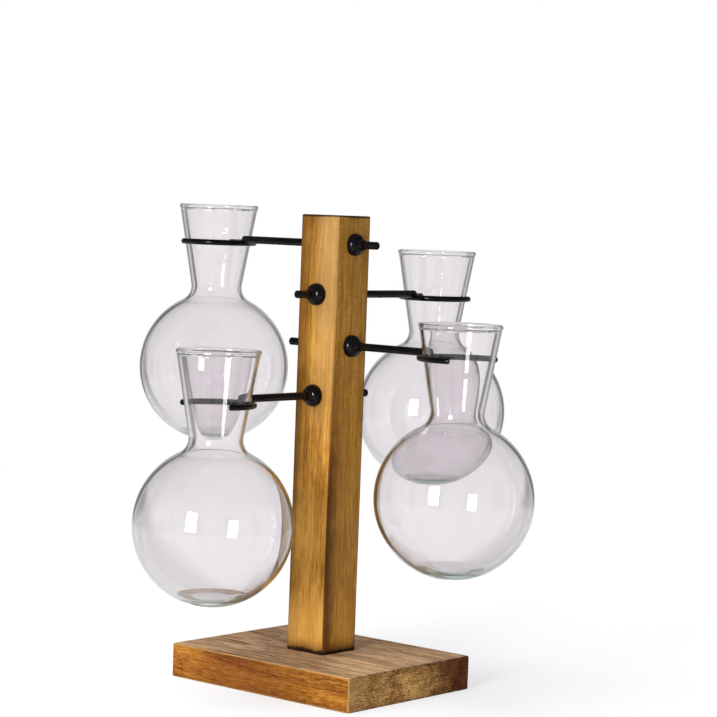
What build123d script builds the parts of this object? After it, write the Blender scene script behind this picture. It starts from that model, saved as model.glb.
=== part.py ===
from build123d import *
from dataclasses import dataclass
import math
import os

# A propagation vase: a wooden stand whose post carries four wire holders, each with a blown-glass
# bulb hanging in it by its flaring neck.
# Lengths are in millimetres. The origin is the centre of the base's underside, with +Z up, and the
# base's long side lies along X.

# The board that the stand rests on
base_length = 122.0
base_width = 96.0
base_thickness = 17.5
base_corner_round = 1.2
base_edge_round = 1.0

# The post, square and bored through four times
post_side = 25.5
post_height = 226.0
post_corner_round = 1.3
post_edge_round = 0.8
top_rod_depth = 14.8        # from the post's top down to the highest rod
rod_pitch = 26.0            # from each rod down to the next
bore_radius = 4.0

# Two wood screws, driven up through the base into the post
screw_radius = 2.0
screw_bite = 22.0           # how far each one reaches into the post
screw_tip = 4.0
screw_head_radius = 4.0
screw_head_sink = 0.6       # how deep the head sits below the underside
screw_clearance = 0.2
screw_spacing = 13.0
screw_head_angle = 90
cross_length = 4.6
cross_width = 1.0
cross_depth = 1.6

# The rods, and the open wire rings welded to their ends
rod_radius = 2.0
rod_stub = 16.0             # how far the free end stands out of the post
rod_end_chamfer = 0.6
reach = 84.0                # from the post's axis to the ring's centre
wire_radius = 1.5
wire_end_chamfer = 0.4
ring_drop = 2.0             # the wire lies this much below the rod's axis
left_arm = 117              # degrees of ring on each side of the weld, seen from the post
right_arm = 114
cope_arc = 60               # degrees of wire that the rod's end is coped over

# The rubber stoppers: a domed head on the post's face, a plug in its bore, a nipple on the rod
head_radius = 5.7
head_skirt = 0.8
head_height = 4.6
nipple_radius = 2.9
nipple_tip_radius = 2.6
nipple_length = 2.2
plug_length = 9.0
plug_chamfer = 0.5
plug_clearance = 0.05
rod_clearance = 0.05

# The glass: a bulb, cut flat underneath, with a neck that flares from a waist up to a rounded lip
bulb_radius = 40.0
glass_wall = 1.6
foot_radius = 9.5
foot_round = 2.5
floor_thickness = 4.4
floor_round = 4.0
waist_radius = 14.0
waist_rise = 6.5            # from the bulb's top up to the waist
neck_length = 39.4          # from the waist up to the lip
neck_top_radius = 20.8
shoulder_round = 8.0
lip_radius = 1.2
ring_clearance = 0.3        # between a neck and the wire that it hangs in

overrun = 2.0               # how far a cut runs past the surface that it opens

# How far up its neck each vase hangs: a blown neck varies, and its ring is bent to fit it there
seat_shares = (0.525, 0.386, 0.589, 0.345)

# Sizes worked out from the ones above
post_top = base_thickness + post_height
post_face = post_side / 2
waist_height = bulb_radius + waist_rise         # heights on the glass are from the bulb's centre
lip_height = waist_height + neck_length
neck_slope = (neck_top_radius - waist_radius) / neck_length
neck_tilt = math.atan(neck_slope)
foot_drop = math.sqrt(bulb_radius**2 - foot_radius**2)
floor_drop = foot_drop - floor_thickness


@dataclass
class Holder:
    """One rod with its ring and vase: where it points, how high it is and where its vase hangs."""

    number: int
    outward: Vector
    height: float
    seat: float

    @property
    def outer_neck(self):
        """Radius of the glass where the ring's plane crosses the neck."""
        return waist_radius + (self.seat - waist_height) * neck_slope

    @property
    def ring_radius(self):
        """Radius of the wire's centre line, square off the sloping glass by the clearance."""
        return self.outer_neck + (wire_radius + ring_clearance) / math.cos(neck_tilt)

    @property
    def ring_centre(self):
        return self.outward * reach + Vector(0, 0, self.height - ring_drop)

    @property
    def bulb_centre(self):
        return self.ring_centre - Vector(0, 0, self.seat)

    @property
    def rod_axis(self):
        return Axis((0, 0, self.height), self.outward)

    @property
    def ring_axis(self):
        return Axis(self.ring_centre, (0, 0, 1))

    def ring_direction(self, arm):
        """From the ring's centre to the point that lies arm degrees to the left of the weld."""
        return (-self.outward).rotate(self.ring_axis, -arm)

    def upright(self, origin, facing):
        """A plane through origin with its x along facing and its y straight up."""
        return Plane(origin=origin, x_dir=facing, z_dir=facing.cross(Vector(0, 0, 1)))


# The rods go round the post in quarter turns, each one rod pitch below the last
headings = (Vector(-1, 0, 0), Vector(0, 1, 0), Vector(1, 0, 0), Vector(0, -1, 0))
holders = [
    Holder(
        number=index + 1,
        outward=heading,
        height=post_top - top_rod_depth - index * rod_pitch,
        seat=waist_height + share * neck_length,
    )
    for index, (heading, share) in enumerate(zip(headings, seat_shares))
]
screw_places = (-screw_spacing / 2, screw_spacing / 2)


def make_base():
    """A board with eased edges and a countersunk hole under each screw."""
    sink_radius = screw_head_radius + screw_head_sink * math.tan(math.radians(screw_head_angle / 2))
    with BuildPart() as base:
        with BuildSketch():
            RectangleRounded(base_length, base_width, base_corner_round)
        extrude(amount=base_thickness)
        fillet(base.faces().sort_by(Axis.Z)[-1].edges(), base_edge_round)
        chamfer(base.faces().sort_by(Axis.Z)[0].edges(), base_edge_round / 2)
        with Locations(*[Plane((place, 0, 0), z_dir=(0, 0, -1)) for place in screw_places]):
            CounterSinkHole(
                radius=screw_radius + screw_clearance,
                counter_sink_radius=sink_radius,
                counter_sink_angle=screw_head_angle,
            )
    return base


def make_post():
    """A square post with rounded corners, a bore for each rod and a pilot hole for each screw."""
    with BuildPart() as post:
        with BuildSketch(Plane.XY.offset(base_thickness)):
            RectangleRounded(post_side, post_side, post_corner_round)
        extrude(amount=post_height)
        fillet(post.faces().sort_by(Axis.Z)[-1].edges(), post_edge_round)
        for holder in holders:
            face_point = holder.outward * post_face + Vector(0, 0, holder.height)
            with Locations(Plane(face_point, z_dir=holder.outward)):
                Hole(radius=bore_radius)
        for place in screw_places:
            with BuildSketch(Plane.XZ):
                with BuildLine():
                    Polyline(
                        (place, base_thickness - overrun),
                        (place + screw_radius, base_thickness - overrun),
                        (place + screw_radius, base_thickness + screw_bite - screw_tip),
                        (place, base_thickness + screw_bite),
                        close=True,
                    )
                make_face()
            revolve(axis=Axis((place, 0, 0), (0, 0, 1)), mode=Mode.SUBTRACT)
    return post


def make_base_screws():
    """Two countersunk wood screws with cross recesses, as separate solids."""
    cone_height = (screw_head_radius - screw_radius) / math.tan(math.radians(screw_head_angle / 2))
    shank_end = base_thickness + screw_bite - screw_tip
    with BuildPart() as screws:
        for place in screw_places:
            with BuildSketch(Plane.XZ):
                with BuildLine():
                    Polyline(
                        (place, screw_head_sink),
                        (place + screw_head_radius, screw_head_sink),
                        (place + screw_radius, screw_head_sink + cone_height),
                        (place + screw_radius, shank_end),
                        (place, shank_end + screw_tip),
                        close=True,
                    )
                make_face()
            revolve(axis=Axis((place, 0, 0), (0, 0, 1)))
        with BuildSketch(Plane.XY.offset(screw_head_sink)):
            with Locations(*[(place, 0) for place in screw_places]):
                Rectangle(cross_length, cross_width)
                Rectangle(cross_width, cross_length)
        extrude(amount=cross_depth, mode=Mode.SUBTRACT)
    return screws


def make_rod(holder):
    """A rod with a chamfered free end, its other end coped over the ring's wire."""
    free_end = -(post_face + rod_stub)
    weld_end = reach - holder.ring_radius
    with BuildPart() as rod:
        with BuildSketch(holder.upright((0, 0, holder.height), holder.outward)):
            with BuildLine():
                Polyline(
                    (free_end, 0),
                    (free_end, rod_radius - rod_end_chamfer),
                    (free_end + rod_end_chamfer, rod_radius),
                    (weld_end, rod_radius),
                    (weld_end, 0),
                    close=True,
                )
            make_face()
        revolve(axis=holder.rod_axis)
        with BuildSketch(holder.upright(holder.ring_centre, holder.ring_direction(cope_arc / 2))):
            with Locations((holder.ring_radius, 0)):
                Circle(wire_radius)
        revolve(axis=holder.ring_axis, revolution_arc=cope_arc, mode=Mode.SUBTRACT)
    return rod


def make_ring(holder):
    """An open ring of round wire, bent round the neck and cut off square at both ends."""
    with BuildPart() as ring:
        with BuildSketch(holder.upright(holder.ring_centre, holder.ring_direction(left_arm))):
            with Locations((holder.ring_radius, 0)):
                Circle(wire_radius)
        revolve(axis=holder.ring_axis, revolution_arc=left_arm + right_arm)
        chamfer(ring.faces().filter_by(GeomType.PLANE).edges(), wire_end_chamfer)
    return ring


def make_stopper(holder, facing):
    """A bored rubber stopper: its plug is in the post and its domed head lies on the post's face."""
    bore = rod_radius + rod_clearance
    plug = bore_radius - plug_clearance
    plug_end = post_face - plug_length
    dome_end = post_face + head_height
    nipple_end = dome_end + nipple_length
    with BuildPart() as stopper:
        with BuildSketch(holder.upright((0, 0, holder.height), facing)):
            with BuildLine():
                Polyline(
                    (nipple_end, bore),
                    (plug_end, bore),
                    (plug_end, plug - plug_chamfer),
                    (plug_end + plug_chamfer, plug),
                    (post_face, plug),
                    (post_face, head_radius),
                    (post_face + head_skirt, head_radius),
                )
                TangentArc(
                    (post_face + head_skirt, head_radius),
                    (dome_end, nipple_radius),
                    tangent=(1, 0),
                )
                Polyline((dome_end, nipple_radius), (nipple_end, nipple_tip_radius), (nipple_end, bore))
            make_face()
        revolve(axis=holder.rod_axis)
    return stopper


def make_vase(holder):
    """A blown bulb with a flaring neck, a thick floor on a flat foot and a fire-polished lip."""
    spin = Axis(holder.bulb_centre, (0, 0, 1))
    section = holder.upright(holder.bulb_centre, holder.outward)
    # The outside first, then the hollow: each is a disc and a neck, trimmed to half and cut flat
    skins = (
        (0, foot_drop, foot_round, lip_height, Mode.ADD),
        (glass_wall, floor_drop, floor_round, lip_height + lip_radius + overrun, Mode.SUBTRACT),
    )
    with BuildPart() as vase:
        for inset, bottom_drop, bottom_round, top, mode in skins:
            shift = waist_radius - inset / math.cos(neck_tilt)
            neck_foot = bulb_radius / 2
            with BuildSketch(section) as half:
                Circle(bulb_radius - inset)
                with BuildLine():
                    Polyline(
                        (0, neck_foot),
                        (shift + (neck_foot - waist_height) * neck_slope, neck_foot),
                        (shift + (top - waist_height) * neck_slope, top),
                        (0, top),
                        close=True,
                    )
                make_face()
                with Locations((0, -bottom_drop)):
                    Rectangle(
                        bulb_radius,
                        bottom_drop + top,
                        align=(Align.MIN, Align.MIN),
                        mode=Mode.INTERSECT,
                    )
                shoulder = half.vertices().sort_by(Axis.Y)[2]
                fillet(shoulder, shoulder_round + inset)
                bottom_corner = half.vertices().sort_by(Axis.Y)[:2].sort_by(Axis.X)[-1]
                fillet(bottom_corner, bottom_round)
            revolve(axis=spin, mode=mode)
        with BuildSketch(section):
            with Locations((neck_top_radius - glass_wall / 2 / math.cos(neck_tilt), lip_height)):
                Circle(lip_radius)
        revolve(axis=spin)
    return vase


pieces = {
    "base": make_base(),
    "post": make_post(),
    "base_screws": make_base_screws(),
}
for holder in holders:
    pieces[f"rod_{holder.number}"] = make_rod(holder)
    pieces[f"ring_{holder.number}"] = make_ring(holder)
    pieces[f"stopper_{holder.number}_ring_side"] = make_stopper(holder, holder.outward)
    pieces[f"stopper_{holder.number}_stub_side"] = make_stopper(holder, -holder.outward)
    pieces[f"vase_{holder.number}"] = make_vase(holder)

os.makedirs("parts", exist_ok=True)
for name, piece in pieces.items():
    piece.part.label = name
    export_step(piece.part, f"parts/{name}.step")
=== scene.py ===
# %% [markdown]
# # A wooden propagation vase, dressed for its picture
#
# The stand is a stained board with a square post. Four black rods go through the post, each with an
# open wire ring at its end, and each ring carries a blown-glass bulb by its flaring neck.
# The construction is loaded as a fixed frame, at its real size and in metres. This lesson gives it
# its looks, one step to a cell.

# %% Load the frame
import math

import bpy
from mathutils import Matrix, Vector


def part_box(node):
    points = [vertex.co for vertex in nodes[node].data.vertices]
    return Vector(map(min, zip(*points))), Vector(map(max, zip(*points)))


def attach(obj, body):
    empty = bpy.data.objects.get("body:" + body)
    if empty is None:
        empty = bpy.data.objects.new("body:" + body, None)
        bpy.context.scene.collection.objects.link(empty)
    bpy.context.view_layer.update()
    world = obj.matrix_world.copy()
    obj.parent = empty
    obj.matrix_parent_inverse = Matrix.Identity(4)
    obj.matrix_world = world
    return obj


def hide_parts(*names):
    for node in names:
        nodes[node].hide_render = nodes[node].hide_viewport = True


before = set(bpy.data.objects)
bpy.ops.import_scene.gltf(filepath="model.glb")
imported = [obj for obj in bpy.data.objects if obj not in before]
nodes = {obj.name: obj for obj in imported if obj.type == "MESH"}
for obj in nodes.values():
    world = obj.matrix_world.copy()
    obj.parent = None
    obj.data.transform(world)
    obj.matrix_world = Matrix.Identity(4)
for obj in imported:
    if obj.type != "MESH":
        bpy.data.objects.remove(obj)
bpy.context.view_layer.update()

MM = 0.001
BLACK = (0, 0, 0, 1)
WHITE = (1, 1, 1, 1)

# %% [markdown]
# ## Camera
#
# A long lens from a little over a metre away keeps the upright edges nearly parallel. The picture
# was taken from just above the stand's top, turned 40 degrees round it, and it leans by two
# degrees. The camera's three directions are worked out from those angles and become the columns of
# its matrix, which leaves nothing to be nudged by eye.

# %% Place the camera
sensor_mm = 36.0
picture_side = 717              # pixels
focal_pixels = 2376.5
turn_round = math.radians(40.46)
look_down = math.radians(3.5)
lean = math.radians(2.12)
distance = 1.2298
aim_height = 0.16993
aim_right = 0.01405

back = Vector((
    math.sin(turn_round) * math.cos(look_down),
    -math.cos(turn_round) * math.cos(look_down),
    math.sin(look_down),
))
right = Vector((math.cos(turn_round), math.sin(turn_round), 0))
up = back.cross(right)
eye = right * aim_right + Vector((0, 0, aim_height)) + back * distance
leaning_right = right * math.cos(lean) + up * math.sin(lean)
leaning_up = up * math.cos(lean) - right * math.sin(lean)

lens = bpy.data.cameras.new("Photo camera")
lens.sensor_width = sensor_mm
lens.lens = focal_pixels / picture_side * sensor_mm
lens.clip_start = 0.05
lens.clip_end = 60
camera = bpy.data.objects.new("Photo camera", lens)
bpy.context.scene.collection.objects.link(camera)
turned = Matrix((leaning_right, leaning_up, back)).transposed().to_4x4()
camera.matrix_world = Matrix.Translation(eye) @ turned
bpy.context.scene.camera = camera
print("lens:", round(lens.lens, 1), "mm, eye height:", round(eye.z, 3), "m")

# %% [markdown]
# ## Helpers for nodes
#
# A material is a small tree of nodes, and `add` puts one node in it: plain values are set on its
# sockets, and sockets of other nodes are linked to them. The other helpers are the few sums and
# mixtures that every finish here is made of. Most finishes are masks, numbers from 0 to 1 over the
# surface, that say where one colour is laid over another.

# %% Helpers for single nodes
def fill(tree, socket, value):
    """Links another node's socket to this one, or sets a plain value on it."""
    if isinstance(value, bpy.types.NodeSocket):
        tree.links.new(value, socket)
    else:
        socket.default_value = value


def add(tree, kind, inputs=None, **settings):
    """One new node, with its settings and its inputs."""
    node = tree.nodes.new("ShaderNode" + kind)
    for name, value in settings.items():
        setattr(node, name, value)
    for name, value in (inputs or {}).items():
        fill(tree, node.inputs[name], value)
    return node


def calc(tree, operation, *values):
    """The result of one sum on numbers."""
    return add(tree, "Math", dict(enumerate(values)), operation=operation).outputs[0]


def vector_calc(tree, operation, *values):
    """The result of one sum on vectors."""
    return add(tree, "VectorMath", dict(enumerate(values)), operation=operation).outputs[0]


# A Mix node has a pair of sockets for each kind of value, so they go by number, not by name
first_number, second_number, mixed_number = 2, 3, 0
first_colour, second_colour, mixed_colour = 6, 7, 2


def blend_colours(tree, factor, first, second, how="MIX"):
    """Two colours mixed by a factor."""
    inputs = {"Factor": factor}
    node = add(tree, "Mix", inputs, data_type="RGBA", blend_type=how)
    fill(tree, node.inputs[first_colour], first)
    fill(tree, node.inputs[second_colour], second)
    return node.outputs[mixed_colour]


def blend_numbers(tree, factor, first, second):
    """Two numbers mixed by a factor."""
    inputs = {"Factor": factor, first_number: first, second_number: second}
    return add(tree, "Mix", inputs).outputs[mixed_number]


def smooth_step(tree, value, low, high, at_low=0.0, at_high=1.0):
    """A smooth change between two values while the input goes from low to high."""
    return add(
        tree,
        "MapRange",
        {"Value": value, "From Min": low, "From Max": high, "To Min": at_low, "To Max": at_high},
        interpolation_type="SMOOTHSTEP",
    ).outputs[0]


# %% Helpers for masks
def product(tree, first, *others):
    """Masks or numbers multiplied together."""
    for other in others:
        first = calc(tree, "MULTIPLY", first, other)
    return first


def outside(tree, mask):
    """1 where a mask is 0, and 0 where it is 1."""
    return calc(tree, "SUBTRACT", 1, mask)


def swing(tree, value, strength, centre=0.5):
    """A value turned into a swing around zero, times its strength."""
    return product(tree, calc(tree, "SUBTRACT", value, centre), strength)


def noise(tree, vector, scale, detail):
    """A soft noise from 0 to 1 that changes about so many times a metre."""
    inputs = {"Vector": vector, "Scale": scale, "Detail": detail}
    return add(tree, "TexNoise", inputs).outputs["Fac"]


# %% Helpers for groups and materials
def new_group(name, inputs, outputs):
    """A node group with named sockets. Returns it with its inner inputs and outputs."""
    group = bpy.data.node_groups.new(name, "ShaderNodeTree")
    for label, kind, value in inputs:
        socket = group.interface.new_socket(label, in_out="INPUT", socket_type="NodeSocket" + kind)
        socket.default_value = value
    for label, kind in outputs:
        group.interface.new_socket(label, in_out="OUTPUT", socket_type="NodeSocket" + kind)
    given = group.nodes.new("NodeGroupInput").outputs
    result = group.nodes.new("NodeGroupOutput").inputs
    return group, given, result


def use_group(tree, group, inputs):
    """Places a node group in a tree, with its own values, and returns its outputs."""
    node = tree.nodes.new("ShaderNodeGroup")
    node.node_tree = group
    for name, value in inputs.items():
        fill(tree, node.inputs[name], value)
    return node.outputs


def new_material(name):
    """A material with a Principled shader. Returns it with its tree and its shader."""
    made = bpy.data.materials.new(name)
    made.use_nodes = True
    return made, made.node_tree, made.node_tree.nodes["Principled BSDF"]


def bump(tree, shader, height, strength, depth):
    """Relief that only the light feels: a height from 0 to 1 stands for so many metres."""
    node = add(tree, "Bump", {"Height": height, "Strength": strength, "Distance": depth})
    tree.links.new(node.outputs["Normal"], shader.inputs["Normal"])


# %% [markdown]
# ## A studio for clear glass
#
# Glass has no colour of its own. It shows its outline where it bends the view from the bright
# background to something darker beside it, so a photographer hangs dark flags round a white sweep.
# The surround does this with one group: white, with a narrow dark flag every 45 degrees. The sky
# and the far part of the floor both use it. Only light that has come through glass meets the flags,
# so they draw the outlines and aren't mirrored. What the glass mirrors is a third as bright, or two
# thirds where it was mirrored inside the wall, and the camera itself sees plain white instead.

# %% Make the surround's group
flag_count = 8
flag_grey = 0.12
flag_middle, flag_edge = -0.88, -0.38       # of a wave between -1 and 1, lowest at each flag
low_sky, high_sky, high_level = 0.12, 0.5, 0.42
mirrored_level = 0.34

surround, given, result = new_group(
    "Studio surround",
    [("Vector", "Vector", (0, 0, 1)), ("Flags", "Float", 1.0), ("Mirrored", "Float", 0.0)],
    [("Color", "Color")],
)
tree = surround
direction = vector_calc(tree, "NORMALIZE", given["Vector"])
parts = add(tree, "SeparateXYZ", {0: direction}).outputs
round_about = calc(tree, "ARCTAN2", parts["Y"], parts["X"])
from_camera = calc(tree, "SUBTRACT", round_about, turn_round)
wave = calc(tree, "COSINE", product(tree, from_camera, flag_count))
flag = smooth_step(tree, wave, flag_middle, flag_edge, 1.0 - flag_grey, 0.0)
between_flags = outside(tree, product(tree, flag, given["Flags"]))
overhead = smooth_step(tree, parts["Z"], low_sky, high_sky, 1.0, high_level)
dimmed = calc(tree, "MULTIPLY_ADD", given["Mirrored"], mirrored_level - 1, 1)
brightness = product(tree, between_flags, dimmed, overhead)
tree.links.new(blend_colours(tree, brightness, BLACK, WHITE), result["Color"])
print("surround nodes:", len(surround.nodes))

# %% [markdown]
# ## Sky
#
# The sky is the surround, as every ray but the camera's own sees it, and a Light Path node tells
# the rays apart. A ray that is mirrored inside the wall leaves it through the glass, so it counts
# both as mirrored and as let through.

# %% Hang the sky
inside_share = 0.5


def been_mirrored(tree, path):
    """1 for light that a gloss mirrors, and half of that where it was mirrored inside the glass."""
    mirrored = calc(tree, "GREATER_THAN", path["Glossy Depth"], 0.5)
    share = calc(tree, "MULTIPLY_ADD", path["Is Transmission Ray"], inside_share - 1, 1)
    return product(tree, mirrored, share)


world = bpy.data.worlds.new("Studio sky")
bpy.context.scene.world = world
world.use_nodes = True
tree = world.node_tree
tree.nodes.clear()
path = add(tree, "LightPath").outputs
sky = use_group(tree, surround, {
    "Vector": add(tree, "TexCoord").outputs["Generated"],
    "Flags": path["Is Transmission Ray"],
    "Mirrored": been_mirrored(tree, path),
})["Color"]
studio = add(tree, "Background", {"Color": sky, "Strength": 1.0}).outputs[0]
plain = add(tree, "Background", {"Color": WHITE, "Strength": 1.0}).outputs[0]
choice = add(tree, "MixShader", {0: path["Is Camera Ray"], 1: studio, 2: plain})
add(tree, "OutputWorld", {"Surface": choice.outputs[0]})
bpy.context.scene.view_settings.view_transform = "Standard"
print("sky nodes:", len(tree.nodes))

# %% [markdown]
# ## Floor
#
# Near the stand the floor is plain matt white and takes a soft shadow. Further out it turns into
# the surround. Blender's operators act on whatever is selected, so everything is deselected before
# a new piece is added.

# %% Lay the floor
floor_size = 40.0
sweep_from, sweep_to = 0.55, 0.95           # where the matt floor turns into the surround
flags_from, flags_to = 0.3, 1.6             # where the flags grow to their full darkness
near_flags = 0.35
lift = 0.55                                 # how far the picture's floor is lifted towards white

bpy.ops.object.select_all(action="DESELECT")
bpy.ops.mesh.primitive_plane_add(size=floor_size, location=(0, 0, 0))
floor = bpy.context.object
floor.name = "Studio_floor"
paint, tree, shader = new_material("White sweep")
shader.inputs["Base Color"].default_value = (0.93, 0.93, 0.93, 1)
shader.inputs["Roughness"].default_value = 0.8
shader.inputs["Specular IOR Level"].default_value = 0.0
place = add(tree, "TexCoord").outputs["Object"]
away = add(tree, "VectorMath", {0: place}, operation="LENGTH").outputs["Value"]
path = add(tree, "LightPath").outputs
seen = path["Is Camera Ray"]
through = path["Is Transmission Ray"]
flags_here = smooth_step(tree, away, flags_from, flags_to, near_flags, 1.0)
sweep = use_group(tree, surround, {
    "Vector": place,
    "Flags": product(tree, through, flags_here),
    "Mirrored": been_mirrored(tree, path),
})["Color"]
glow = add(tree, "Emission", {"Color": blend_colours(tree, seen, sweep, WHITE)}).outputs[0]
spread = smooth_step(tree, away, sweep_from, sweep_to)
lifted = product(tree, calc(tree, "ADD", seen, through), lift)
spread = calc(tree, "MAXIMUM", spread, lifted)
choice = add(tree, "MixShader", {0: spread, 1: shader.outputs[0], 2: glow})
tree.links.new(choice.outputs[0], tree.nodes["Material Output"].inputs["Surface"])
floor.data.materials.append(paint)
print("floor:", floor_size, "m wide")

# %% [markdown]
# ## Lights
#
# One tall softbox stands to the left of the camera and is what the bulbs mirror as a bright window.
# Everything else is a soft light from above and in front that leaves no reflection.

# %% Hang the lights
vase_middle = Vector((0, 0, 0.12))
softbox_turn = math.radians(12)
softbox_rise = math.radians(9)
softbox_distance = 1.6
softbox_width, softbox_height = 0.40, 0.70
softbox_power = 26
overhead_place = Vector((-0.6, -1.4, 2.4))
overhead_power = 2.2
overhead_spread = math.radians(70)


def add_light(name, kind, place, aim, power, **settings):
    """A light at a place, turned to face a point."""
    light = bpy.data.lights.new(name, kind)
    light.energy = power
    for key, value in settings.items():
        setattr(light, key, value)
    made = bpy.data.objects.new(name, light)
    bpy.context.scene.collection.objects.link(made)
    made.location = place
    made.rotation_euler = (aim - place).to_track_quat("-Z", "Y").to_euler()
    made.visible_camera = False
    return made


softbox_from = Vector((
    math.sin(softbox_turn) * math.cos(softbox_rise),
    -math.cos(softbox_turn) * math.cos(softbox_rise),
    math.sin(softbox_rise),
))
add_light(
    "Softbox", "AREA", vase_middle + softbox_from * softbox_distance, vase_middle, softbox_power,
    shape="RECTANGLE", size=softbox_width, size_y=softbox_height,
)
overhead = add_light(
    "Overhead", "SUN", overhead_place, Vector((0, 0, 0)), overhead_power, angle=overhead_spread
)
overhead.visible_glossy = False
overhead.visible_transmission = False

# %% [markdown]
# ## Wood grain
#
# A board is sawn out of rings, so the grain is worked out in three dimensions: each point's
# distance from the tree's heart, divided by the width of a year, gives the pale early wood and the
# dark late wood. Long faces then show stripes without being told to. Both boards use this one
# group, with their own heart, ring width and colours.

# %% Start the wood grain group with the year rings
grain, given, result = new_group(
    "Wood grain",
    [
        ("Vector", "Vector", (0, 0, 0)),
        ("Heart", "Vector", (0, 0, 0)),
        ("Ring width", "Float", 0.003),
        ("Pale", "Color", (0.5, 0.25, 0.06, 1)),
        ("Middle", "Color", (0.35, 0.16, 0.04, 1)),
        ("Dark", "Color", (0.15, 0.06, 0.015, 1)),
        ("Rings", "Float", 0.3),
        ("Streaks", "Float", 0.4),
        ("Fibres", "Float", 0.5),
        ("Flecks", "Float", 0.1),
        ("Blotches", "Float", 0.5),
    ],
    [("Color", "Color"), ("Height", "Float"), ("Fibre", "Float")],
)
tree = grain
most_shift = 6 * MM             # how far the trunk's fibres wander to a side


def stretched_noise(vector, across, along, detail, roughness=0.55):
    """Noise with so many changes a metre across the grain and along it."""
    scaled = vector_calc(tree, "MULTIPLY", vector, (across, across, along))
    inputs = {"Vector": scaled, "Scale": 1.0, "Detail": detail, "Roughness": roughness}
    return add(tree, "TexNoise", inputs).outputs


waver = stretched_noise(given["Vector"], 22, 5, 2)["Color"]
both_sides = (2 * most_shift, 2 * most_shift, 0)
one_side = (-most_shift, -most_shift, 0)
shift = vector_calc(tree, "MULTIPLY_ADD", waver, both_sides, one_side)
wavering = vector_calc(tree, "ADD", given["Vector"], shift)
from_heart = vector_calc(tree, "SUBTRACT", wavering, given["Heart"])
flattened = vector_calc(tree, "MULTIPLY", from_heart, (1, 1, 0))
radius = add(tree, "VectorMath", {0: flattened}, operation="LENGTH").outputs["Value"]
year_part = calc(tree, "FRACT", calc(tree, "DIVIDE", radius, given["Ring width"]))
late = add(tree, "ValToRGB", {0: year_part})
late.color_ramp.interpolation = "EASE"
late.color_ramp.elements[0].color = BLACK
late.color_ramp.elements[1].color = (0.1, 0.1, 0.1, 1)
for part_of_year, grey in ((0.45, 0.25), (0.82, 1.0), (0.93, 0.9)):
    late.color_ramp.elements.new(part_of_year).color = (grey, grey, grey, 1)
late_wood = late.outputs[0]
print("ring nodes:", len(grain.nodes))

# %% [markdown]
# ### Fibres, pores and blotches
#
# Fine fibres and pores are noise that is stretched along the trunk, and the stain lies in soft
# blotches over them. Each adds its own swing to one tone, from 0 for the palest wood to 1 for the
# darkest, and the tone then picks the colour.

# %% Finish the wood grain group
fibre = stretched_noise(wavering, 900, 28, 4, 0.6)["Fac"]
hair = stretched_noise(given["Vector"], 2600, 90, 2)["Fac"]
streak = stretched_noise(wavering, 340, 15, 4, 0.65)["Fac"]
dash = stretched_noise(given["Vector"], 1250, 140, 2, 0.7)["Fac"]
fleck = smooth_step(tree, dash, 0.40, 0.62)
blotch = stretched_noise(given["Vector"], 42, 17, 3)["Fac"]
patch = stretched_noise(given["Vector"], 120, 48, 3)["Fac"]
pores = smooth_step(tree, stretched_noise(given["Vector"], 1700, 60, 2)["Fac"], 0.64, 0.74)

pale_tone, middle_tone, dark_tone = 0.05, 0.5, 1.0
base_tone = 0.42
tone = calc(tree, "ADD", base_tone, swing(tree, late_wood, given["Rings"], 0.4))
for value, strength in (
    (streak, given["Streaks"]),
    (fibre, given["Fibres"]),
    (fleck, given["Flecks"]),
    (hair, product(tree, given["Fibres"], 0.7)),
    (blotch, given["Blotches"]),
    (patch, product(tree, given["Blotches"], 0.6)),
):
    tone = calc(tree, "ADD", tone, swing(tree, value, strength))
colour = given["Pale"]
for first_tone, last_tone, shade in (
    (pale_tone, middle_tone, given["Middle"]),
    (middle_tone, dark_tone, given["Dark"]),
):
    ends = {"Value": tone, "From Min": first_tone, "From Max": last_tone}
    colour = blend_colours(tree, add(tree, "MapRange", ends).outputs[0], colour, shade)
colour = blend_colours(tree, product(tree, pores, 0.45), colour, given["Dark"])
tree.links.new(colour, result["Color"])

relief = product(tree, fibre, 0.55)
for part, height in ((late_wood, 0.25), (hair, 0.3), (pores, -0.5), (fleck, -0.4)):
    relief = calc(tree, "MULTIPLY_ADD", part, height, relief)
tree.links.new(relief, result["Height"])
tree.links.new(fibre, result["Fibre"])
print("wood grain nodes:", len(grain.nodes))

# %% [markdown]
# ## Nearness to an edge
#
# Stain soaks in at the edges of a board, and hands rub them. On a box the nearest edge is found by
# arithmetic: of the three distances to the box's sides, a point on its surface has one that is
# zero, and the second smallest is the way to the nearest edge. A little noise makes it ragged.

# %% Make the edge group
edges, given, result = new_group(
    "Box edges",
    [
        ("Vector", "Vector", (0, 0, 0)),
        ("Centre", "Vector", (0, 0, 0)),
        ("Half size", "Vector", (1, 1, 1)),
        ("Width", "Float", 0.002),
        ("Raggedness", "Float", 0.001),
    ],
    [("Mask", "Float")],
)
tree = edges
offset = vector_calc(tree, "SUBTRACT", given["Vector"], given["Centre"])
inwards = vector_calc(tree, "SUBTRACT", given["Half size"], vector_calc(tree, "ABSOLUTE", offset))
sides = add(tree, "SeparateXYZ", {0: inwards}).outputs
smaller = calc(tree, "MINIMUM", sides[0], sides[1])
larger = calc(tree, "MAXIMUM", sides[0], sides[1])
second = calc(tree, "MAXIMUM", smaller, calc(tree, "MINIMUM", larger, sides[2]))
ragged = swing(tree, noise(tree, given["Vector"], 130, 4), given["Raggedness"])
to_edge = calc(tree, "MULTIPLY_ADD", ragged, 2, second)
near = smooth_step(tree, to_edge, 0, given["Width"], 1.0, 0.0)
tree.links.new(near, result["Mask"])
print("edge nodes:", len(edges.nodes))
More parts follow.
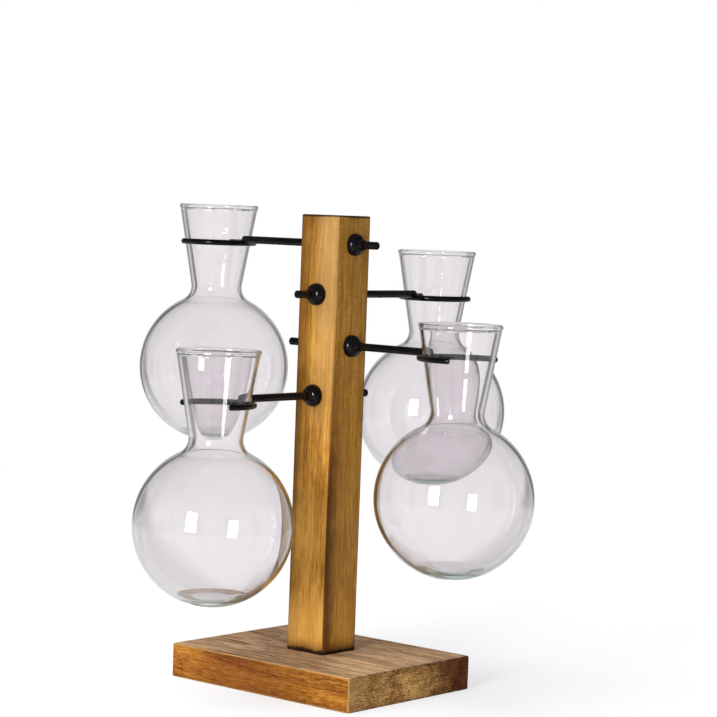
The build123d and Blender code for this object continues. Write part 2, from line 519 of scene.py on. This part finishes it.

# %% [markdown]
# ## The post's honey wood
#
# The grain group gives the post its wood, and what happened to the post later is laid over it by
# masks, together with some painted light and shade. Most masks are distances, such as from the
# foot or from the left face's outer edge. A wandering noise is added to some of them, so that no
# stain ends in a ruled line.

# %% Start the post's material
def board_shape(node):
    """The centre and half size of a board, for the edge group."""
    low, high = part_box(node)
    return (low + high) / 2, (high - low) / 2


post_wood, tree, shader = new_material("Honey stained wood")
centre, half = board_shape("post")
place = add(tree, "TexCoord").outputs["Object"]
wood = use_group(tree, grain, {
    "Vector": place,
    "Heart": (0.034, 0.060, 0),
    "Ring width": 4.0 * MM,
    "Pale": (0.56, 0.285, 0.052, 1),
    "Middle": (0.335, 0.142, 0.013, 1),
    "Dark": (0.120, 0.042, 0.004, 1),
    "Rings": 0.16,
    "Streaks": 1.05,
    "Fibres": 1.15,
    "Flecks": 0.22,
    "Blotches": 1.0,
})
axes = add(tree, "SeparateXYZ", {0: place}).outputs
wander = swing(tree, noise(tree, place, 90, 4), 6 * MM)
from_foot = calc(tree, "SUBTRACT", axes["Z"], centre.z - half.z)
from_top = calc(tree, "SUBTRACT", centre.z + half.z, axes["Z"])
from_left = calc(tree, "ADD", calc(tree, "ADD", axes["X"], half.x), wander)
past_corner = calc(tree, "ADD", axes["Y"], half.y)
on_left_face = smooth_step(tree, axes["Y"], 0.7 * MM - half.y, 1.2 * MM - half.y, 1.0, 0.0)
on_right_face = smooth_step(tree, axes["X"], half.x - 1.2 * MM, half.x - 0.7 * MM)
high_up = smooth_step(tree, calc(tree, "MULTIPLY_ADD", wander, 9, axes["Z"]), 0.10, 0.20)
print("post's grain nodes:", len(tree.nodes))

# %% [markdown]
# ### The post's stain and painted light
#
# The stain has soaked in at the post's edges, except at the front corner, which is kept pale as a
# painted highlight. High up on the left face the stain has run darker down the outer edge, and a
# pale band beside the corner is a painted highlight. Near the foot that face is golden with painted
# light, as where the glass bulbs focus light onto it. On the right face the stain is calmer, with a
# dark red painted shade low down beside the corner.

# %% Stain the post and paint its light and shade
calm_honey = (0.42, 0.205, 0.036, 1)
soaked_brown = (0.105, 0.038, 0.005, 1)
outer_brown = (0.150, 0.058, 0.005, 1)
highlight_cream = (0.50, 0.300, 0.105, 1)
painted_light_gold = (0.62, 0.335, 0.075, 1)
corner_shade_red = (0.070, 0.017, 0.002, 1)

post_shape = {"Vector": place, "Centre": centre, "Half size": half}
soaked = use_group(tree, edges, {**post_shape, "Width": 11 * MM, "Raggedness": 4 * MM})["Mask"]
to_front = calc(tree, "SUBTRACT", axes["X"], axes["Y"])
# Painted highlight: the soaked stain is kept off the front corner, which stays pale as if lit.
off_highlit_corner = outside(tree, smooth_step(tree, to_front, 15 * MM, 22.5 * MM))
soak_share = calc(tree, "MULTIPLY_ADD", on_right_face, -0.50, 0.70)
colour = blend_colours(tree, product(tree, on_right_face, 0.30), wood["Color"], calm_honey)
colour = blend_colours(tree, product(tree, soaked, off_highlit_corner, soak_share), colour, soaked_brown)

high_left = product(tree, on_left_face, high_up)
outer_run = smooth_step(tree, from_left, 0.5 * MM, 15 * MM, 0.66, 0.0)
colour = blend_colours(tree, product(tree, outer_run, high_left), colour, outer_brown)
# Painted highlight: a pale cream band high on the left face, towards the front corner.
painted_highlight_band = smooth_step(tree, from_left, 8 * MM, 17 * MM, 0.0, 0.55)
colour = blend_colours(tree, product(tree, painted_highlight_band, high_left), colour, highlight_cream)
# Painted light: the left face is golden near the foot, as where the glass bulbs focus light onto
# it.
painted_light_low = smooth_step(tree, from_foot, 12 * MM, 40 * MM, 1.0, 0.0)
painted_light_share = smooth_step(tree, wood["Fibre"], 0.30, 0.66, 0.2, 0.62)
colour = blend_colours(tree, product(tree, painted_light_low, on_left_face, painted_light_share), colour, painted_light_gold)

low_right = product(tree, on_right_face, outside(tree, high_up))
# Painted shade: low on the right face, a dark red shade runs beside the front corner.
wide_corner_shade = smooth_step(tree, calc(tree, "ADD", past_corner, wander), 0.8 * MM, 10 * MM, 0.80, 0.0)
ragged_corner = calc(tree, "MULTIPLY_ADD", wander, 0.3, past_corner)
thin_corner_shade = smooth_step(tree, ragged_corner, 0.8 * MM, 2.4 * MM, 0.88, 0.0)
painted_corner_shade = calc(tree, "MAXIMUM", wide_corner_shade, thin_corner_shade)
colour = blend_colours(tree, product(tree, painted_corner_shade, low_right), colour, corner_shade_red)
print("post's stain nodes:", len(tree.nodes))

# %% [markdown]
# ### The post's saw marks
#
# The face to the right still carries the faint marks of the saw, which are clearest high up: noise
# that changes quickly along the post and slowly across it. The whole post is darker towards its
# top.

# %% Mark the post's sawn face
saw = noise(tree, vector_calc(tree, "MULTIPLY", place, (170, 170, 1300)), 1.0, 2)
tone_by_height = smooth_step(tree, axes["Z"], 0.13, 0.21, 0.95, 0.68)
colour = blend_colours(tree, 1.0, colour, tone_by_height, "MULTIPLY")
sawn = product(tree, on_right_face, calc(tree, "MULTIPLY_ADD", high_up, 0.45, 0.28))
marks = blend_colours(tree, sawn, WHITE, smooth_step(tree, saw, 0.35, 0.65, 0.82, 1.06))
colour = blend_colours(tree, 1.0, colour, marks, "MULTIPLY")
print("post's saw nodes:", len(tree.nodes))

# %% [markdown]
# ### The post's scorched ends
#
# Foot, top and edges are scorched with a torch. The char is nearly black and ends ragged. Above it
# the post turns darker brown towards its foot, and the end grain at the top is burnt less than its
# rim.

# %% Scorch the post and finish it
char = (0.009, 0.0035, 0.0015, 1)
foot_brown = (0.085, 0.024, 0.004, 1)

rim = use_group(tree, edges, {**post_shape, "Width": 1.8 * MM, "Raggedness": 0.6 * MM})["Mask"]
# The char also leaves the front corner, which keeps its painted highlight.
colour = blend_colours(tree, product(tree, rim, off_highlit_corner, 0.9), colour, char)
flames = noise(tree, place, 210, 3)
ragged_foot = calc(tree, "MULTIPLY_ADD", flames, -3 * MM, from_foot)
ragged_top = calc(tree, "MULTIPLY_ADD", flames, -1.2 * MM, from_top)
brown_share = calc(tree, "MULTIPLY_ADD", on_right_face, 0.12, 0.74)
# Darker brown towards the foot.
darker_towards_foot = smooth_step(tree, ragged_foot, -1 * MM, 7 * MM, 1.0, 0.0)
colour = blend_colours(tree, product(tree, darker_towards_foot, brown_share), colour, foot_brown)
foot_burn = smooth_step(tree, ragged_foot, -0.6 * MM, 1.3 * MM, 0.98, 0.0)
top_burn = smooth_step(tree, ragged_top, -0.4 * MM, 0.8 * MM, 0.9, 0.0)
top_face = smooth_step(tree, from_top, 0.2 * MM, 0.6 * MM, 1.0, 0.0)
end_grain_share = calc(tree, "MULTIPLY_ADD", product(tree, top_face, outside(tree, rim)), -0.6, 1)
top_burn = product(tree, top_burn, end_grain_share)
colour = blend_colours(tree, calc(tree, "MAXIMUM", foot_burn, top_burn), colour, char)


def finish_wood(colour, fibre, least_roughness, shine):
    """The wood's colour, a satin that is rougher on the pale fibres, and how much it shines."""
    tree.links.new(colour, shader.inputs["Base Color"])
    satin = calc(tree, "MULTIPLY_ADD", fibre, 0.25, least_roughness)
    tree.links.new(satin, shader.inputs["Roughness"])
    shader.inputs["Specular IOR Level"].default_value = shine


finish_wood(colour, wood["Fibre"], 0.38, 0.09)
bump(tree, shader, calc(tree, "MULTIPLY_ADD", saw, 0.2, wood["Height"]), 0.5, 0.22 * MM)
print("post's nodes:", len(tree.nodes))

# %% [markdown]
# ## The base's red-brown wood
#
# The base's grain runs along its length, so a Mapping node turns the coordinates until the grain's
# own Z lies along X. The sawn ends are combed across by the blade, and get a second use of the
# grain that runs along Y. The flat top gets a third one in a greyer brown, which is partly
# weathering and partly a painted sheen of the bright studio that the top mirrors at a slant. Its
# broad streaks still show when the top is seen at a slant.

# %% Start the base's material
base_wood, tree, shader = new_material("Red brown stained wood")
centre, half = board_shape("base")
place = add(tree, "TexCoord").outputs["Object"]
axes = add(tree, "SeparateXYZ", {0: place}).outputs
quarter_turn = math.radians(90)
along_x = add(tree, "Mapping", {"Vector": place, "Rotation": (0, -quarter_turn, 0)}).outputs[0]
along_y = add(tree, "Mapping", {"Vector": place, "Rotation": (quarter_turn, 0, 0)}).outputs[0]
long_grain = use_group(tree, grain, {
    "Vector": vector_calc(tree, "MULTIPLY", along_x, (1.3, 1.3, 1.5)),
    "Heart": (-0.040, 0.070, 0),
    "Ring width": 4.2 * MM,
    "Pale": (0.345, 0.148, 0.018, 1),
    "Middle": (0.182, 0.058, 0.0050, 1),
    "Dark": (0.045, 0.011, 0.0016, 1),
    "Rings": 0.20,
    "Streaks": 0.95,
    "Fibres": 1.15,
    "Flecks": 0.38,
    "Blotches": 0.7,
})
end_grain = use_group(tree, grain, {
    "Vector": vector_calc(tree, "MULTIPLY", along_y, (1.9, 1.9, 3.2)),
    "Heart": (0.5, 0.5, 0),
    "Ring width": 3.4 * MM,
    "Pale": (0.60, 0.36, 0.125, 1),
    "Middle": (0.265, 0.125, 0.033, 1),
    "Dark": (0.055, 0.019, 0.005, 1),
    "Rings": 0.0,
    "Streaks": 0.35,
    "Fibres": 1.2,
    "Flecks": 0.52,
    "Blotches": 1.3,
})
# The top's greyer colours are partly weathering and partly a painted sheen.
top_grain = use_group(tree, grain, {
    "Vector": vector_calc(tree, "MULTIPLY", along_x, (0.40, 0.40, 0.60)),
    "Heart": (-0.10, 0.10, 0),
    "Ring width": 3.0 * MM,
    "Pale": (0.58, 0.375, 0.200, 1),
    "Middle": (0.32, 0.186, 0.093, 1),
    "Dark": (0.125, 0.060, 0.026, 1),
    "Rings": 0.09,
    "Streaks": 0.75,
    "Fibres": 1.5,
    "Flecks": 0.42,
    "Blotches": 0.8,
})
print("base's grain nodes:", len(tree.nodes))

# %% [markdown]
# ### The base's faces
#
# Masks put each grain on its own faces. The long side is redder in its middle, the top is drawn
# paler towards one end as painted light, and the sawn end is paler at the near corner and browner
# beyond it.

# %% Join the base's faces
middle_red = (0.105, 0.024, 0.004, 1)
near_straw = (0.46, 0.30, 0.14, 1)
near_brown = (0.085, 0.036, 0.008, 1)
far_shade = (0.22, 0.105, 0.05, 1)

from_end = calc(tree, "SUBTRACT", half.x, calc(tree, "ABSOLUTE", axes["X"]))
from_above = calc(tree, "SUBTRACT", centre.z + half.z, axes["Z"])
from_near_side = calc(tree, "ADD", axes["Y"], half.y)
on_end = smooth_step(tree, from_end, 0.3 * MM, 0.9 * MM, 1.0, 0.0)
on_top = smooth_step(tree, from_above, 0.2 * MM, 0.7 * MM, 1.0, 0.0)
from_red = calc(tree, "ABSOLUTE", calc(tree, "ADD", axes["X"], 8 * MM))
redness = smooth_step(tree, from_red, 12 * MM, 50 * MM, 0.60, 0.0)
colour = blend_colours(tree, redness, long_grain["Color"], middle_red)
colour = blend_colours(tree, on_end, colour, end_grain["Color"])
# Painted light: the top is drawn paler towards its +X end.
painted_light_on_top = smooth_step(tree, axes["X"], 5 * MM, 50 * MM, 0.93, 1.30)
weathered_top_and_painted_light = blend_colours(tree, 1.0, top_grain["Color"], painted_light_on_top, "MULTIPLY")
colour = blend_colours(tree, on_top, colour, weathered_top_and_painted_light)

near_corner = smooth_step(tree, axes["Y"], -46 * MM, -34 * MM, 0.30, 0.0)
colour = blend_colours(tree, product(tree, near_corner, on_end), colour, near_straw)
cloud = noise(tree, place, 75, 4)
ragged_y = calc(tree, "ADD", swing(tree, cloud, 35 * MM), axes["Y"])
near_stain = smooth_step(tree, ragged_y, -26 * MM, -2 * MM, 0.32, 0.0)
colour = blend_colours(tree, product(tree, near_stain, on_end), colour, near_brown)
far_end = smooth_step(tree, ragged_y, -10 * MM, 42 * MM)
colour = blend_colours(tree, product(tree, far_end, on_end), colour, far_shade, "MULTIPLY")
print("base's face nodes:", len(tree.nodes))

# %% [markdown]
# ### The base's wear and painted highlights
#
# Handling has left thin pale scuffs along the grain, and pale specks on the top are painted glints,
# where rough patches would catch the light. The edges are scorched dark and have chipped back to
# bare wood here and there, and those along the near side carry a painted highlight, pale where the
# rounded edge catches the light.

# %% Wear the base, paint its highlights and finish it
scuff_pale = (0.55, 0.36, 0.20, 1)
painted_glint_pale = (0.72, 0.56, 0.42, 1)
soaked_red = (0.10, 0.035, 0.008, 1)
edge_dark = (0.025, 0.010, 0.004, 1)
chip_pale = (0.42, 0.24, 0.09, 1)
edge_highlight_pale = (0.42, 0.23, 0.07, 1)

scuff = noise(tree, vector_calc(tree, "MULTIPLY", along_x, (1500, 1500, 150)), 1.0, 3)
scuff_share = calc(tree, "MULTIPLY_ADD", on_top, 0.4, 0.2)
scuffed = product(tree, smooth_step(tree, scuff, 0.58, 0.72), outside(tree, on_end), scuff_share)
colour = blend_colours(tree, scuffed, colour, scuff_pale)
# Painted glints: pale specks on the top where rough fibres would catch the light.
glint = noise(tree, vector_calc(tree, "MULTIPLY", place, (1100, 330, 1100)), 1.0, 3)
glint = smooth_step(tree, glint, 0.58, 0.70, 0.0, 0.8)
painted_glints = product(tree, glint, on_top, smooth_step(tree, cloud, 0.44, 0.60))
colour = blend_colours(tree, painted_glints, colour, painted_glint_pale)

base_shape = {"Vector": place, "Centre": centre, "Half size": half}
soaked = use_group(tree, edges, {**base_shape, "Width": 3.5 * MM, "Raggedness": 4 * MM})["Mask"]
rim = use_group(tree, edges, {**base_shape, "Width": 1.1 * MM, "Raggedness": 0.7 * MM})["Mask"]
colour = blend_colours(tree, product(tree, soaked, 0.2), colour, soaked_red)
chipped = smooth_step(tree, noise(tree, place, 480, 2), 0.57, 0.66)
edge_colour = blend_colours(tree, chipped, edge_dark, chip_pale)
# Painted highlight: the near side's rounded edges are drawn pale, as where they catch the light.
painted_edge_highlight = smooth_step(tree, from_near_side, 1.2 * MM, 3.5 * MM, 0.8, 0.0)
edge_colour = blend_colours(tree, painted_edge_highlight, edge_colour, edge_highlight_pale)
colour = blend_colours(tree, product(tree, rim, 0.8), colour, edge_colour)

finish_wood(colour, long_grain["Fibre"], 0.36, 0.07)
height = blend_numbers(tree, on_end, long_grain["Height"], end_grain["Height"])
bump(tree, shader, height, 0.6, 0.28 * MM)
print("base's nodes:", len(tree.nodes))

# %% [markdown]
# ## Black steel, black rubber, screws
#
# The rods and rings are dipped in glossy black enamel, which is never quite even: a soft noise
# varies its roughness and lifts it a little. The stoppers are moulded rubber, polished by the
# mould. The screws are plated steel.

# %% Make the unevenness group
uneven, given, result = new_group(
    "Uneven coat",
    [
        ("Vector", "Vector", (0, 0, 0)),
        ("Scale", "Float", 400.0),
        ("Least roughness", "Float", 0.2),
        ("Most roughness", "Float", 0.35),
    ],
    [("Roughness", "Float"), ("Height", "Float"), ("Mask", "Float")],
)
tree = uneven
mottle = noise(tree, given["Vector"], given["Scale"], 4)
slow = noise(tree, given["Vector"], 70, 2)
both = calc(tree, "MULTIPLY_ADD", slow, 0.7, product(tree, mottle, 0.3))
least, most = given["Least roughness"], given["Most roughness"]
tree.links.new(smooth_step(tree, both, 0.3, 0.7, least, most), result["Roughness"])
tree.links.new(mottle, result["Height"])
tree.links.new(smooth_step(tree, slow, 0.4, 0.65), result["Mask"])
print("uneven coat nodes:", len(uneven.nodes))

# %% [markdown]
# ### The three plain finishes
#
# They are the same small tree with other values: two close colours, the fineness of the unevenness,
# its roughness and its relief.

# %% Make the enamel, the rubber and the screws' steel
def coated_material(name, colours, fineness, roughness, relief, shine, metal=0.0):
    """A plain finish whose colour, roughness and surface vary a little."""
    made, tree, shader = new_material(name)
    coat = use_group(tree, uneven, {
        "Vector": add(tree, "TexCoord").outputs["Object"],
        "Scale": fineness,
        "Least roughness": roughness[0],
        "Most roughness": roughness[1],
    })
    tree.links.new(blend_colours(tree, coat["Mask"], *colours), shader.inputs["Base Color"])
    tree.links.new(coat["Roughness"], shader.inputs["Roughness"])
    shader.inputs["Specular IOR Level"].default_value = shine
    shader.inputs["Metallic"].default_value = metal
    bump(tree, shader, coat["Height"], 0.4, relief)
    return made


enamel_black = (0.0016, 0.0014, 0.0014, 1), (0.0034, 0.0030, 0.0030, 1)
rubber_black = (0.0016, 0.0016, 0.0020, 1), (0.0034, 0.0034, 0.0042, 1)
zinc_grey = (0.50, 0.49, 0.46, 1), (0.62, 0.60, 0.55, 1)
enamel = coated_material("Black enamel", enamel_black, 500, (0.07, 0.15), 0.04 * MM, 0.16)
rubber = coated_material("Black rubber", rubber_black, 900, (0.07, 0.13), 0.02 * MM, 0.17)
screw_steel = coated_material("Zinc steel", zinc_grey, 700, (0.25, 0.4), 0.04 * MM, 0.5, 1.0)
print("finishes:", enamel.name, rubber.name, screw_steel.name)

# %% [markdown]
# ## Clear glass
#
# Real glass bends light at both faces of its wall, so the shader is full transmission with the
# index of soda glass, and the wall is modelled with its thickness. A weak green absorption inside
# it leaves the wall clear, and darkens the outline, where light runs a long way along the wall.
# A ray that has been mirrored four times inside the wall is given up by the renderer and would
# turn the rim black, so such a ray, and no other, meets a faint grey glow in its place.

# %% Make the glass material
wall_green = (0.55, 0.68, 0.60, 1)
wall_density = 38.0
rim_grey = (0.16, 0.18, 0.17, 1)
last_mirroring = 3.5

glass, tree, shader = new_material("Clear soda glass")
shader.inputs["Base Color"].default_value = (0.948, 0.917, 0.938, 1)
shader.inputs["Transmission Weight"].default_value = 1.0
shader.inputs["Roughness"].default_value = 0.0
shader.inputs["IOR"].default_value = 1.50
inside = add(tree, "VolumeAbsorption", {"Color": wall_green, "Density": wall_density})
tree.links.new(inside.outputs[0], tree.nodes["Material Output"].inputs["Volume"])
mirrorings = add(tree, "LightPath").outputs["Glossy Depth"]
given_up = calc(tree, "GREATER_THAN", mirrorings, last_mirroring)
tree.links.new(blend_colours(tree, given_up, BLACK, rim_grey), shader.inputs["Emission Color"])
shader.inputs["Emission Strength"].default_value = 1.0
print("glass nodes:", len(tree.nodes))

# %% [markdown]
# ## The blown vases
#
# A vase is turned from its section, the outline of its wall on one side. The outline is arcs and
# straight lines: a flat foot, the round bulb, the shoulder that turns into the neck, and a lip that
# was melted round in the flame. Inside, the same curves run one wall further in, down to a thick
# floor. The bulb's size and the lip's height are read from the frame, and the rest is given here.

# %% Measure the vase
glass_wall = 1.6 * MM
foot_radius = 9.5 * MM
foot_round = 2.5 * MM
floor_thickness = 4.4 * MM
floor_round = 4.0 * MM
waist_radius = 14.0 * MM
waist_rise = 6.5 * MM
neck_top_radius = 20.8 * MM
shoulder_round = 8.0 * MM
lip_radius = 1.2 * MM

low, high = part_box("vase_1")
bulb_radius = (high.x - low.x) / 2
foot_drop = math.sqrt(bulb_radius**2 - foot_radius**2)
bulb_height = low.z + foot_drop
lip_height = high.z - bulb_height - lip_radius
waist_height = bulb_radius + waist_rise
tilt = math.atan((neck_top_radius - waist_radius) / (lip_height - waist_height))
along_neck = Vector((math.sin(tilt), math.cos(tilt)))
off_neck = Vector((math.cos(tilt), -math.sin(tilt)))
print("bulb radius:", round(bulb_radius, 4), "neck tilt:", round(math.degrees(tilt), 2))

# %% [markdown]
# ### The section of the glass
#
# The shoulder is the arc that touches both the bulb and the neck, so the glass runs on without a
# crease. The neck is straight, and its stations lie closer together towards the lip.

# %% Draw the section
foot_stations = (0, 0.5, 0.92)
neck_stations = (0.12, 0.3, 0.5, 0.7, 0.85, 0.95, 0.985)
corner_steps, bulb_steps, shoulder_steps, lip_steps = 8, 56, 14, 16


def arc(centre, radius, start, end, steps):
    """Points on an arc, from one angle to another."""
    angles = [start + (end - start) * step / steps for step in range(steps + 1)]
    return [centre + radius * Vector((math.cos(a), math.sin(a))) for a in angles]


def shoulder_centre():
    """The centre of the arc that touches the bulb and the neck from outside."""
    waist = Vector((waist_radius, waist_height)) + off_neck * shoulder_round
    reach = bulb_radius + shoulder_round
    up_neck = waist.dot(along_neck)
    return waist - along_neck * (up_neck - math.sqrt(up_neck**2 - waist.length_squared + reach**2))


def skin(inset, drop, bottom_round):
    """One face of the wall from the middle of its bottom up to the lip, so far inside the glass."""
    corner = Vector((0, bottom_round - drop))
    corner.x = math.sqrt((bulb_radius - inset - bottom_round) ** 2 - corner.y**2)
    shoulder = shoulder_centre()
    bulb_from = math.atan2(corner.y, corner.x)
    bulb_to = math.atan2(shoulder.y, shoulder.x)
    points = [Vector((corner.x * station, -drop)) for station in foot_stations]
    points += arc(corner, bottom_round, -math.pi / 2, bulb_from, corner_steps)
    points += arc(Vector((0, 0)), bulb_radius - inset, bulb_from, bulb_to, bulb_steps)[1:]
    points += arc(
        shoulder, shoulder_round + inset, bulb_to + math.pi, math.pi - tilt, shoulder_steps
    )[1:]
    rise = Vector((neck_top_radius, lip_height)) - off_neck * inset - points[-1]
    return points + [points[-1] + rise * station for station in neck_stations]


def section():
    """The whole outline of the glass on one side, from its foot over the lip to its floor."""
    lip = Vector((neck_top_radius, lip_height)) - off_neck * glass_wall / 2
    opening = math.acos(glass_wall / 2 / lip_radius)
    lip_points = arc(lip, lip_radius, -tilt - opening, math.pi - tilt + opening, lip_steps)
    inner = skin(glass_wall, foot_drop - floor_thickness, floor_round)
    return skin(0, foot_drop, foot_round) + lip_points + inner[::-1]


outline = section()
print("points in the section:", len(outline))

# %% [markdown]
# ### Turning and copying
#
# A line of edges is drawn along the outline by extruding one vertex, and Spin carries it round. The
# seam's double points are merged and the normals made to point outwards. The vase is modelled once
# and copied to the other three rings, each copy with its own mesh, and each rides with its own
# glass in the frame.

# %% Turn one vase and copy it to the other rings
turns = 96
seam_gap = 0.001 * MM


def turned_from(name, outline, axis_point):
    """Draws an outline by extruding a vertex, and spins it once round the upright axis."""
    bpy.ops.object.select_all(action="DESELECT")
    places = [axis_point + Vector((point.x, 0, point.y)) for point in outline]
    bpy.ops.mesh.primitive_plane_add(size=MM, location=places[0])
    turned = bpy.context.object
    turned.name = name
    bpy.ops.object.transform_apply(location=True)
    bpy.ops.object.mode_set(mode="EDIT")
    bpy.ops.mesh.merge(type="CENTER")
    for here, there in zip(places, places[1:]):
        bpy.ops.mesh.extrude_region_move(TRANSFORM_OT_translate={"value": there - here})
    bpy.ops.mesh.select_all(action="SELECT")
    bpy.ops.mesh.spin(steps=turns, angle=math.tau, center=axis_point, axis=(0, 0, 1))
    bpy.ops.mesh.select_all(action="SELECT")
    bpy.ops.mesh.remove_doubles(threshold=seam_gap)
    bpy.ops.mesh.normals_make_consistent(inside=False)
    bpy.ops.object.mode_set(mode="OBJECT")
    bpy.ops.object.shade_smooth()
    return turned


def top_middle(node):
    """The middle of the top of a node's box."""
    low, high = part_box(node)
    return Vector(((low.x + high.x) / 2, (low.y + high.y) / 2, high.z))


first_top = top_middle("vase_1")
first_centre = Vector((first_top.x, first_top.y, bulb_height))
first_vase = turned_from("Glass_vase_1", outline, first_centre)
first_vase.data.materials.append(glass)
print("vase faces:", len(first_vase.data.polygons))
for number in range(1, 5):
    vase = first_vase
    if number > 1:
        vase = first_vase.copy()
        vase.data = first_vase.data.copy()
        vase.name = f"Glass_vase_{number}"
        bpy.context.scene.collection.objects.link(vase)
        vase.data.transform(Matrix.Translation(top_middle(f"vase_{number}") - first_top))
    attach(vase, f"glass_{number}")
    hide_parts(f"vase_{number}")

# %% [markdown]
# ## Dress the carried-over pieces
#
# The boards, rods, rings, stoppers and screws have their true shapes already, so they only take
# their finishes.

# %% Give the frame's own pieces their materials
def dress(node, material):
    """Gives a carried-over piece its finish."""
    piece = nodes[node]
    piece.data.materials.clear()
    piece.data.materials.append(material)


dress("base", base_wood)
dress("post", post_wood)
dress("base_screws", screw_steel)
for number in range(1, 5):
    dress(f"rod_{number}", enamel)
    dress(f"ring_{number}", enamel)
    dress(f"stopper_{number}_ring_side", rubber)
    dress(f"stopper_{number}_stub_side", rubber)
print("materials:", sorted(one.name for one in bpy.data.materials))
